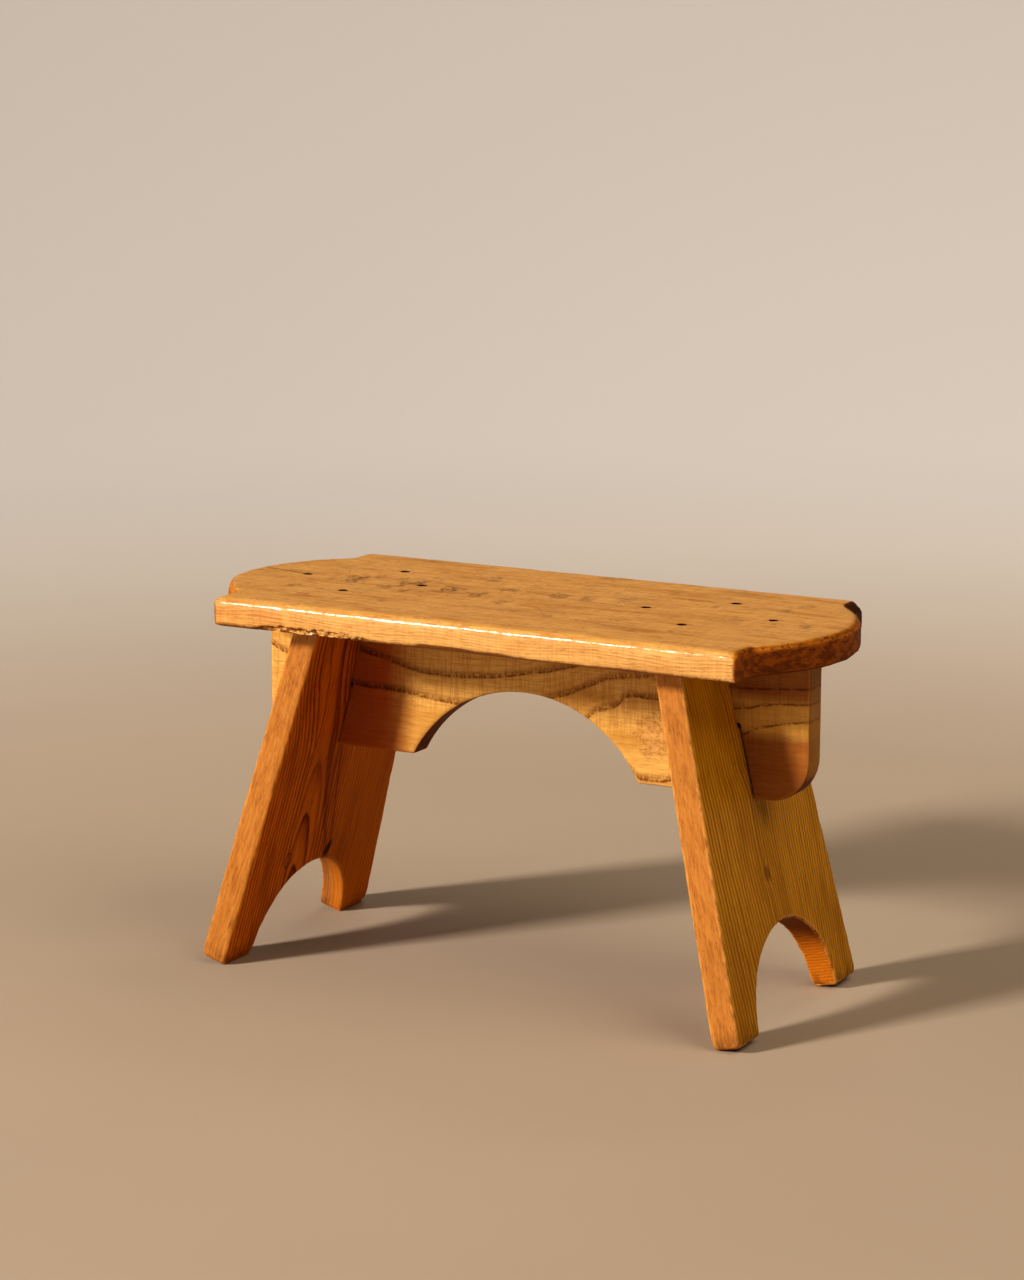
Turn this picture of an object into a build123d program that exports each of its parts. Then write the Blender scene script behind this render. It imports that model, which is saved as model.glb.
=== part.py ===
from build123d import *
import os
from math import cos, radians, sin

os.makedirs("parts", exist_ok=True)

# Wooden milking stool: a thick seat board nailed down on two splayed leg boards, which a rail
# on edge ties together under the seat.
# Frame: the origin is on the floor under the middle of the seat. +X runs along the seat to its
# right-hand end, +Y to the back, +Z up. Millimetres.

# Seat board
seat_height = 278.0          # floor to the top of the seat
seat_thickness = 21.5
seat_width = 213.0
seat_straight = 411.5        # length of the straight long edges
seat_bow_left = 40.5         # how far each curved end stands beyond its square shoulders
seat_bow_right = 33.5
seat_shoulder = 25.5         # width of each square shoulder
seat_top_rounding = 5.5      # top edge, worn round
seat_low_bevel = 0.8         # bottom edge

# Leg boards
leg_thickness = 21.0
leg_spacing = 264.0          # between the legs' inner faces, where they meet the seat
leg_top_width = 154.0
leg_foot_width = 201.0
leg_splay_left = 15.9        # degrees out from upright
leg_splay_right = 13.0
foot_arch_left = 61.5        # radius of the arch sawn between the feet
foot_arch_right = 65.0
foot_corner = 5.0            # rounding of the feet's outer corners
foot_wear = 0.8              # how much of the low inner edge is worn flat on the floor
leg_bevel = 1.2              # long edges

# Rail under the seat
rail_length = 438.0
rail_thickness = 20.5
rail_depth = 102.5
rail_arch_radius = 103.5
rail_arch_rise = 55.5
rail_arch_shift = -3.5       # the arch is sawn a little to the left of the middle
rail_end_corner = 30.0       # radius of the lower corners
rail_bevel = 0.8

# Cross-lap joints: a slot down from the top of each leg, a notch up into the rail
frame_shift = 3.0            # the rail and legs stand a little behind the seat's middle line
lap_depth = 56.0             # how far the rail sits down in a leg, along the leg
lap_slack = 3.5              # space left between the bottom of the slot and the top of the notch
slot_fit = 0.2               # space each side of the rail in the leg's slot
notch_fit_inner = 0.5        # space between the leg and the rail's notch, inner side
notch_fit_outer = 1.3

# Wrought nails with a round head and a square, tapered shank, driven through the seat
nail_length = 58.0
nail_head = 6.0              # diameter
nail_head_height = 1.6
nail_shank = 3.4             # across the square, under the head
nail_tip = 0.9
nail_sunk = 2.2              # depth of the head's top below the seat
nail_fit = 0.1               # space round a nail in the wood
rail_nails_left = (-192.0, -94.0)     # places along the rail, outside and inside the leg
rail_nails_right = (184.0, 86.0)
leg_nail_spread = 43.5       # each side of the rail
leg_nail_inset = 2.5         # from the middle of the leg's thickness towards its inner face
nail_drift_left = 0.5        # how far the nails stray behind the rail's middle line
nail_drift_right = 4.5

seat_underside = seat_height - seat_thickness
reach = 4 * seat_height      # longer than anything that a cutting block has to pass through


class Leg:
    """Where one leg board stands: its side of the stool, its lean and the plane of its inner face."""

    def __init__(self, side, splay, arch):
        self.side = side
        self.angle = radians(splay)
        self.arch = arch
        self.down = Vector(side * sin(self.angle), 0, -cos(self.angle))
        self.out = Vector(side * cos(self.angle), 0, sin(self.angle))
        self.top = Vector(side * leg_spacing / 2, frame_shift, seat_underside)
        # In this plane x runs across the board to the back and y up the board.
        self.face = Plane(self.top, x_dir=(0, 1, 0), z_dir=self.out * side)
        self.length = (seat_underside + foot_wear) / cos(self.angle)

    def slab(self, low, high, half_width, inner, outer):
        """A block in the leg's own plane, between two heights on its face, through its thickness."""
        thickness = outer - inner
        middle = Location((0, (low + high) / 2, self.side * (inner + thickness / 2)))
        return self.face * middle * Box(2 * half_width, high - low, thickness)


left = Leg(-1, leg_splay_left, foot_arch_left)
right = Leg(1, leg_splay_right, foot_arch_right)


def nail_shape(gap=0.0, above=0.0):
    """A wrought nail pointing down, with the top of its head at the origin, or with a gap its bore."""
    neck = -nail_head_height - gap
    head = Location((0, 0, (above + neck) / 2)) * Cylinder(nail_head / 2 + gap, above - neck)
    sections = [Location((0, 0, height)) * Rectangle(width + 2 * gap, width + 2 * gap)
                for height, width in ((neck, nail_shank), (-nail_length - gap, nail_tip))]
    return head + loft(sections)


def nail_places():
    """The place of every nail: the top of its head, with Z back along the nail."""
    places = []
    for leg, along, drift in ((left, rail_nails_left, nail_drift_left),
                              (right, rail_nails_right, nail_drift_right)):
        line = frame_shift + drift
        for x in along:
            places.append(Location((x, line, seat_height - nail_sunk)))
        middle = leg.top + leg.out * (leg_thickness / 2 - leg_nail_inset)
        rise = (seat_height - middle.Z) / cos(leg.angle) - nail_sunk
        start = middle - leg.down * rise
        for y in (line - leg_nail_spread, line + leg_nail_spread):
            places.append(Location(Plane((start.X, y, start.Z), x_dir=(0, 1, 0), z_dir=-leg.down)))
    return places


def seat_board():
    """Board with square shoulders and a shallow bow across each end."""
    length = seat_straight + seat_bow_left + seat_bow_right
    tip_left, tip_right = -length / 2, length / 2
    x_left, x_right = tip_left + seat_bow_left, tip_right - seat_bow_right
    y = seat_width / 2
    chord = y - seat_shoulder
    outline = Curve() + [
        Polyline((x_left, chord), (x_left, y), (x_right, y), (x_right, chord)),
        ThreePointArc((x_right, chord), (tip_right, 0), (x_right, -chord)),
        Polyline((x_right, -chord), (x_right, -y), (x_left, -y), (x_left, -chord)),
        ThreePointArc((x_left, -chord), (tip_left, 0), (x_left, chord)),
    ]
    board = extrude(Plane.XY.offset(seat_underside) * make_face(outline), seat_thickness)
    board = fillet(board.edges().group_by(Axis.Z)[-1], seat_top_rounding)
    return chamfer(board.edges().group_by(Axis.Z)[0], seat_low_bevel)


def leg_board(leg):
    """Board that widens to the floor, arched between two feet and slotted for the rail."""
    over = leg_thickness
    spread = (leg_foot_width - leg_top_width) / 2 / leg.length
    top, foot = leg_top_width / 2 - spread * over, leg_foot_width / 2
    outline = Polyline((-top, over), (-foot, -leg.length), (foot, -leg.length), (top, over), close=True)
    outline = make_face(outline)
    outline = fillet(outline.vertices().group_by(Axis.Y)[0], foot_corner)
    board = extrude(leg.face * outline, leg.side * leg_thickness)
    long_edges = board.faces().filter_by(Axis(leg.top, leg.out)).edges()
    long_edges = long_edges.filter_by(lambda edge: abs(edge.tangent_at(0.5).Y) < 0.9)
    board = chamfer(long_edges, leg_bevel)
    arch = leg.face * Location((0, -leg.length, 0)) * Cylinder(leg.arch, 3 * leg_thickness)
    slot = leg.slab(-lap_depth - lap_slack, over * 2, rail_thickness / 2 + slot_fit,
                    -leg_thickness, 2 * leg_thickness)
    board = board - arch - slot
    board -= Location((0, 0, seat_underside + reach / 2)) * Box(reach, reach, reach)
    return board - Location((0, 0, -reach / 2)) * Box(reach, reach, reach)


def rail_board():
    """Board on edge with rounded lower corners, a round arch and a notch over each leg."""
    low = seat_underside - rail_depth
    face = Plane((0, frame_shift + rail_thickness / 2, low), x_dir=(1, 0, 0), z_dir=(0, -1, 0))
    outline = Location((0, rail_depth / 2)) * Rectangle(rail_length, rail_depth)
    outline = fillet(outline.vertices().group_by(Axis.Y)[0], rail_end_corner)
    outline -= Location((rail_arch_shift, rail_arch_rise - rail_arch_radius)) * Circle(rail_arch_radius)
    board = extrude(face * outline, rail_thickness)
    board = chamfer(board.edges().filter_by(Axis.Y, reverse=True).group_by(Axis.Z)[:-1], rail_bevel)
    for leg in (left, right):
        board -= leg.slab(-reach, -lap_depth, rail_thickness, -notch_fit_inner,
                          leg_thickness + notch_fit_outer)
    return board


places = nail_places()
bores = [place * nail_shape(nail_fit, nail_sunk + seat_thickness) for place in places]
wood = {
    "seat": seat_board(),
    "leg_left": leg_board(left),
    "leg_right": leg_board(right),
    "rail": rail_board(),
}
for name, board in wood.items():
    for bore in bores:
        board -= bore
    export_step(board, f"parts/{name}.step")
export_step(Compound([place * nail_shape() for place in places]), "parts/nails.step")
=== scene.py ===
from math import cos, exp, hypot, pi, radians, sin

import bmesh
import bpy
from mathutils import Matrix, Vector, noise


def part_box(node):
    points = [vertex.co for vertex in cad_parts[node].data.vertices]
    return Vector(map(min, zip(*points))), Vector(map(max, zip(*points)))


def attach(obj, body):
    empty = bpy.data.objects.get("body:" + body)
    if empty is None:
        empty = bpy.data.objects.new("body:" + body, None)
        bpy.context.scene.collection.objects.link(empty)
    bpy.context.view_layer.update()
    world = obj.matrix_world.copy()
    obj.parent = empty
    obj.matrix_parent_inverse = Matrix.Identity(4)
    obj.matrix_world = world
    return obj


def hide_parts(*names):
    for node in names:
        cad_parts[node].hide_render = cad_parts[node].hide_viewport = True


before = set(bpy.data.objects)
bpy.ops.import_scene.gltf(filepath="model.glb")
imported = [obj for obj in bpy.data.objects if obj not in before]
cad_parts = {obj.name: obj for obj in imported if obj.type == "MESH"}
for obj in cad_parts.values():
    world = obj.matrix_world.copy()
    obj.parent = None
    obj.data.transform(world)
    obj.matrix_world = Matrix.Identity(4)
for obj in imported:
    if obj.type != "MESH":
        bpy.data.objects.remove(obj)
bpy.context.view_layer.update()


# ------------------------------------------------------------------------------------------------
# Seat
# A planed softwood board with square shoulders and a bowed end each side, nailed down through the
# top. Its long top edge is rounded by use, its low front edge is torn, and old varnish has worn
# thin on top and pooled along the edges.

MM = 0.001                # sizes are in millimetres, and times MM they are in metres
seat_low, seat_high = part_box("seat")
seat_front = seat_low.y / MM
seat_top = seat_high.z / MM
seat_underside = seat_low.z / MM
seat_thickness = seat_top - seat_underside
# Where the nails go through the seat, along it and across it.
nail_spots = ((-192, 3.5), (-94, 3.5), (184, 7.5), (86, 7.5),
              (-134.3, -40), (-134.3, 47), (135.3, -36), (135.3, 51))
nail_sunk = 2.2
hole_radius = 3.1
right_bow_centre, right_bow_radius = 128.0, 114.7     # the circle that the right end is sawn to
right_shoulder = 209.25
torn_start, torn_end = (-176, -140), (-92, -72)       # where the low front edge's tear sets in and stops


def clamp(value, low=0.0, high=1.0):
    return max(low, min(high, value))


def ease(value, start, end):
    """0 before start, 1 after end, with a soft change between them."""
    share = clamp((value - start) / (end - start))
    return share * share * (3 - 2 * share)


def waves(point, size, seed=0.0):
    """Smooth unevenness from -1 to 1 with bumps about size millimetres across."""
    return noise.noise(point / size + Vector((seed, 7.3 * seed, 3.1 * seed)))


def smoothed_board(node, cell, rounds, turn=0.0, pivot=(0, 0, 0), fill_holes=False):
    """A finely divided copy of a board, smoothed, and the sawn place of each of its points. A
    leaning board is turned upright about its pivot while it is divided, so its faces stay flat.
    Nail holes are filled where they are cut again once the top is worn."""
    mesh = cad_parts[node].data.copy()
    mesh.materials.clear()
    board = bpy.data.objects.new(node + "_board", mesh)
    bpy.context.scene.collection.objects.link(board)
    form = bmesh.new()
    form.from_mesh(mesh)
    bmesh.ops.remove_doubles(form, verts=form.verts, dist=0.001 * MM)
    if fill_holes:
        depth, radius = seat_thickness * MM, 5 * MM
        for x, y in nail_spots:
            middle = Matrix.Translation((x * MM, y * MM, seat_top * MM - depth / 2))
            bmesh.ops.create_cone(form, cap_ends=True, segments=16, radius1=radius, radius2=radius,
                                  depth=depth, matrix=middle)
    bmesh.ops.rotate(form, verts=form.verts, cent=pivot, matrix=Matrix.Rotation(turn, 3, "Y"))
    form.to_mesh(mesh)
    form.free()
    divide = board.modifiers.new("divide", "REMESH")
    divide.mode = "VOXEL"
    divide.voxel_size = cell * MM
    divide.use_smooth_shade = True
    finished = board.evaluated_get(bpy.context.evaluated_depsgraph_get())
    board.data = bpy.data.meshes.new_from_object(finished)
    board.modifiers.clear()
    form = bmesh.new()
    form.from_mesh(board.data)
    bmesh.ops.rotate(form, verts=form.verts, cent=pivot, matrix=Matrix.Rotation(-turn, 3, "Y"))
    sawn = [vert.co.copy() for vert in form.verts]
    for _ in range(rounds):
        bmesh.ops.smooth_vert(form, verts=form.verts, factor=0.5,
                              use_axis_x=True, use_axis_y=True, use_axis_z=True)
    return board, form, sawn


def worn_board(board, form, sawn, wear):
    """Moves each point between its sawn and its smoothed place; wear(point, edge, out) gives the
    share, how far it moves in millimetres, and how stained the wood is there, which on the rail is
    the left leg's painted shadow. The share of edge and the stain are kept for the finish."""
    edge_layer = form.verts.layers.float.new("edge")
    stain_layer = form.verts.layers.float.new("stain")
    for vert, crisp in zip(form.verts, sawn):
        soft = vert.co
        out = vert.normal
        edge = clamp((crisp - soft).dot(out) / (0.8 * MM), -1, 1)
        share, move, stain = wear(crisp / MM, edge, out)
        vert.co = crisp.lerp(soft, share) + move * MM
        vert[edge_layer] = edge
        vert[stain_layer] = stain
    form.to_mesh(board.data)
    form.free()
    board.data.polygons.foreach_set("use_smooth", [True] * len(board.data.polygons))
    return board


# Smudges on the top: the place along and across it, the size and the strength of each.
smudges = ((-156, 10, 7, 0.5), (-149, 4, 9, 0.95), (-166, -5, 5, 0.4), (-139, 19, 6, 0.5),
           (-118, 17, 6, 0.5), (-104, 9, 9, 0.8), (-114, -10, 7, 0.7), (-97, -20, 7, 0.65),
           (-68, -1, 9, 0.8), (-41, -8, 8, 0.7), (-29, 22, 7, 0.6), (-60, 49, 8, 0.45),
           (-12, -24, 7, 0.55), (-177, -41, 5, 0.6), (14, 16, 8, 0.6), (35, 13, 6, 0.5),
           (62, 24, 7, 0.45), (38, -54, 6, 0.4), (129, 33, 5, 0.45), (163, -7, 6, 0.35),
           (213, -3, 6, 0.6), (178, 42, 5, 0.4), (18, 95, 9, 0.4), (186, 64, 5, 0.35))


def seat_stain(x, y):
    """How dark the old smudges on the top are at a place, from 0 to 1."""
    stain = 0
    ragged = 0.9 * waves(Vector((x, y * 0.6, 0)), 5, 31) + 0.7 * waves(Vector((x, y, 0)), 2.4, 32)
    for smudge_x, smudge_y, size, strength in smudges:
        away = hypot((x - smudge_x) / size, (y - smudge_y) / (1.5 * size))
        if away < 2.5:
            stain = max(stain, strength * (1 - ease(away + ragged, 0.35, 1.15)))
    return stain


def seat_wear(point, edge, out):
    """Rubbed edges, shallow dents, a torn low front edge and a broken back corner."""
    x, y, z = point
    # Rubbed and dented all over, most along the edges.
    share = clamp(0.55 + 0.9 * waves(point, 19) + 0.3 * waves(point, 6, 2)) * (1 - 1.1 * abs(out.x * out.y))
    dent = 0.35 * ease(waves(point, 11, 5), 0.25, 0.7) + 0.5 * ease(waves(point, 5, 9), 0.45, 0.8) * edge
    dent += 0.18 * (1 + waves(Vector((x, y * 2, z)), 60, 4)) + 0.25 * edge * (1 + waves(point, 24, 6))
    move = -dent * ease(abs(edge), 0.02, 0.5) * out
    if out.z > 0.5:
        move.z -= 0.12 * (1 + waves(Vector((x, y * 2.2, 0)), 55, 8))
    # The low front edge is torn near the left leg and shaved a little along the middle.
    low_front = exp(-((y - seat_front) / 3.2) ** 2 - ((z - seat_underside) / 3.6) ** 2)
    torn = ease(x, *torn_start) * (1 - ease(x, *torn_end))
    strip = Vector((x, (y - seat_front) * 3, (z - seat_underside) * 3))
    depth = torn * (2.0 + 4.5 * waves(strip, 8, 11) + 3.5 * waves(strip, 3.2, 12))
    planed = 1.9 * ease(x, -38, -29) * (1 - ease(x, -12, 52))
    move += low_front * Vector((0, 0.8, 1.0)) * max(0, depth) + low_front * Vector((0, 0.3, planed))
    # The back corner of the right end is broken off at a slant.
    if x > 185 and y > 30:
        inset = right_shoulder - x if y > 81 else right_bow_radius - hypot(x - right_bow_centre, y)
        reach = 5.6 * ease(y, 79, 86) + 1.6 * ease(y, 40, 70) * (1 - ease(y, 79, 86))
        depth = max(0, reach + 1.2 * waves(point, 6, 14) - inset)
        depth = min(depth * (0.85 + 0.35 * waves(point, 3.5, 16)), 5.5)
        move.z -= depth * clamp((z - seat_underside) / 21)
    # The front of the left bow is worn away.
    if x < -200:
        worn = 3.4 * exp(-((y + 58) / 24) ** 2) * (0.35 + 0.65 * clamp((z - seat_underside) / 18))
        move += Vector((0.87, 0.48, 0)) * worn * clamp(-out.x - out.y)
    return share, move, seat_stain(x, y) if out.z > 0.7 else 0


seat = worn_board(*smoothed_board("seat", cell=1.62, rounds=7, fill_holes=True), seat_wear)


def nail_hole(x, y, seed):
    """A round punch that leaves a hole with a ragged rim, widened a little at its top."""
    punch = bmesh.new()
    depth, above = 14 * MM, 2 * MM
    middle = Matrix.Translation((x * MM, y * MM, seat_top * MM - depth / 2 + above))
    bmesh.ops.create_cone(punch, cap_ends=True, segments=28, radius1=hole_radius * MM,
                          radius2=hole_radius * MM, depth=depth, matrix=middle)
    sides = [edge for edge in punch.edges if abs(edge.verts[0].co.z - edge.verts[1].co.z) > 2 * MM]
    bmesh.ops.subdivide_edges(punch, edges=sides, cuts=9)
    for vert in punch.verts:
        away = Vector((vert.co.x - x * MM, vert.co.y - y * MM, 0))
        spread = ease(vert.co.z / MM, seat_top - nail_sunk, seat_top)
        ragged = 0.10 * waves(vert.co / MM, 1.6, seed)
        ragged += spread * (0.10 + 0.16 * waves(vert.co / MM, 2.2, seed + 1))
        tail = spread * 1.5 * clamp(away.x / (hole_radius * MM)) ** 6
        tail *= 1 + waves(Vector((seed, 0, 0)), 1.3)
        if away.length > 0:
            vert.co += away.normalized() * (ragged + tail) * MM
    mesh = bpy.data.meshes.new(f"punch_{seed}")
    punch.to_mesh(mesh)
    punch.free()
    tool = bpy.data.objects.new(mesh.name, mesh)
    bpy.context.scene.collection.objects.link(tool)
    return tool


punches = [nail_hole(x, y, seed) for seed, (x, y) in enumerate(nail_spots)]
for punch in punches:
    cut = seat.modifiers.new("nail hole", "BOOLEAN")
    cut.operation = "DIFFERENCE"
    cut.solver = "EXACT"
    cut.object = punch
finished_seat = seat.evaluated_get(bpy.context.evaluated_depsgraph_get())
seat.data = bpy.data.meshes.new_from_object(finished_seat)
seat.modifiers.clear()
seat.data.set_sharp_from_angle(angle=radians(50))
for punch in punches:
    bpy.data.objects.remove(punch)


class Value:
    """A number that changes over the surface: arithmetic on it adds Math nodes to the finish."""

    def __init__(self, finish, socket):
        self.finish = finish
        self.socket = socket

    def math(self, operation, *values):
        return self.finish.node("ShaderNodeMath", {"operation": operation}, dict(enumerate(values)))

    def __add__(self, other):
        return self.math("ADD", self, other)

    def __radd__(self, other):
        return self.math("ADD", other, self)

    def __sub__(self, other):
        return self.math("SUBTRACT", self, other)

    def __rsub__(self, other):
        return self.math("SUBTRACT", other, self)

    def __mul__(self, other):
        return self.math("MULTIPLY", self, other)

    def __rmul__(self, other):
        return self.math("MULTIPLY", other, self)

    def __truediv__(self, other):
        return self.math("DIVIDE", self, other)

    def __rtruediv__(self, other):
        return self.math("DIVIDE", other, self)

    def __pow__(self, other):
        return self.math("POWER", self, other)

    def __neg__(self):
        return self.math("MULTIPLY", self, -1)

    def __abs__(self):
        return self.math("ABSOLUTE", self)

    def larger(self, other):
        return self.math("MAXIMUM", self, other)

    def ease(self, start, end):
        """0 at start and 1 at end, with a soft change between them."""
        settings = {"interpolation_type": "SMOOTHSTEP"}
        values = {"Value": self, "From Min": start, "From Max": end}
        return self.finish.node("ShaderNodeMapRange", settings, values)

    def hump(self):
        """1 where this is 0, falling away on both sides as a bell does."""
        return self.math("EXPONENT", -1 * self * self)


class Finish:
    """A material of one piece, built from nodes."""

    def __init__(self, name, **constants):
        self.material = bpy.data.materials.new(name)
        self.material.use_nodes = True
        self.tree = self.material.node_tree
        self.shader = self.tree.nodes["Principled BSDF"]
        for socket, constant in constants.items():
            self.shader.inputs[socket.replace("_", " ")].default_value = constant

    def node(self, kind, settings=None, values=None, output=0):
        """Adds a node: its settings first, then a value or a link for each socket that is named."""
        made = self.tree.nodes.new(kind)
        for name, setting in (settings or {}).items():
            if name == "spots":
                line = made.mapping.curves[0]
                while len(line.points) < len(setting):
                    line.points.new(0.5, 0.5)
                for point, spot in zip(line.points, setting):
                    point.location = spot
                made.mapping.update()
            else:
                setattr(made, name, setting)
        for name, value in (values or {}).items():
            if isinstance(value, Value):
                self.tree.links.new(value.socket, made.inputs[name])
            else:
                made.inputs[name].default_value = value
        return Value(self, made.outputs[output])

    def curve(self, value, spots):
        """A smooth line through spots: pairs of the value and what it gives there."""
        start, end = spots[0][0], spots[-1][0]
        low, high = min(y for x, y in spots), max(y for x, y in spots)
        shares = [((x - start) / (end - start), (y - low) / (high - low)) for x, y in spots]
        values = {"Value": (value - start) / (end - start)}
        return low + (high - low) * self.node("ShaderNodeFloatCurve", {"spots": shares}, values)

    def place(self, turn, start):
        """The place on the piece in millimetres: x along the grain, y across it, z towards the heart."""
        where = self.node("ShaderNodeTexCoord", output="Object")
        values = {"Vector": where, "Location": start, "Rotation": turn, "Scale": (1 / MM,) * 3}
        return self.node("ShaderNodeMapping", None, values)

    def stretched(self, place, sizes, detail=2.0, rough=0.5, output=0, move=(0, 0, 0)):
        """Noise with spots of the given sizes along, across and into the wood."""
        scale = tuple(1 / size for size in sizes)
        fitted = self.node("ShaderNodeMapping", None, {"Vector": place, "Scale": scale, "Location": move})
        values = {"Vector": fitted, "Scale": 1.0, "Detail": detail, "Roughness": rough}
        return self.node("ShaderNodeTexNoise", {"noise_dimensions": "3D"}, values, output)

    def parts(self, vector):
        return [self.node("ShaderNodeSeparateXYZ", None, {0: vector}, output=axis) for axis in range(3)]

    def dot(self, vector, axis):
        """How far a vector goes along an axis."""
        settings = {"operation": "DOT_PRODUCT"}
        return self.node("ShaderNodeVectorMath", settings, {0: vector, 1: axis}, output=1)

    def blend(self, share, first, second):
        """A colour between two: each is a Value or three numbers."""
        first, second = [c if isinstance(c, Value) else (*c, 1) for c in (first, second)]
        values = {0: share, 6: first, 7: second}
        return self.node("ShaderNodeMix", {"data_type": "RGBA"}, values, output=2)

    def finish(self, colour, roughness, height, relief, coat=None):
        """Joins what changes over the surface to the shader, with the height as bump."""
        values = {"Height": height, "Distance": relief * MM, "Strength": 1.0}
        bump = self.node("ShaderNodeBump", None, values)
        joined = {"Base Color": colour, "Roughness": roughness, "Normal": bump}
        if coat is not None:
            joined["Coat Weight"] = coat
        for name, value in joined.items():
            if isinstance(value, Value):
                self.tree.links.new(value.socket, self.shader.inputs[name])
            else:
                self.shader.inputs[name].default_value = value
        return self.material


def growth_rings(wood, place, heart, lean, ring, wander):
    """The count of growth rings from the heart of the tree: the heart is a line along the grain,
    heart away across and into the board, that leans a little, and wanders by some millimetres."""
    along, across, into = wood.parts(place)
    start = (heart[0], 0, heart[1])
    sway = wood.parts(wood.stretched(place, (150, 42, 42), detail=1.5, output=1, move=start))
    ripple = wood.parts(wood.stretched(place, (38, 15, 15), detail=2, output=1))
    shake = 0.12 * wander
    across = across - heart[0] - lean[0] * along + wander * (sway[0] - 0.5) + shake * (ripple[0] - 0.5)
    into = into - heart[1] - lean[1] * along + wander * (sway[1] - 0.5) + shake * (ripple[1] - 0.5)
    return (across * across + into * into) ** 0.5 / ring + 1.6 * (sway[2] - 0.5)


def wood_layers(wood, place, rings, sharp=3.0, even=0.45):
    """Latewood lines, fine fibres, dark pores and blotches of an old varnished board, each from 0 to 1."""
    fibres = wood.stretched(place, (34, 1.4, 1.4), detail=3, rough=0.65)
    rings = rings + 0.22 * (fibres - 0.5)
    phase = rings.math("FRACT", rings)
    count = rings.math("FLOOR", rings)
    strength = wood.node("ShaderNodeTexWhiteNoise", {"noise_dimensions": "1D"}, {"W": count})
    late = phase ** sharp * (1 - phase.ease(0.90, 1.0)) * (even + (1.2 - even) * strength)
    pores = wood.stretched(place, (7, 0.42, 0.42), detail=1.5).ease(0.60, 0.72)
    blotches = wood.stretched(place, (90, 26, 26), detail=3, rough=0.55)
    return late, fibres, pores, blotches


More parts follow.
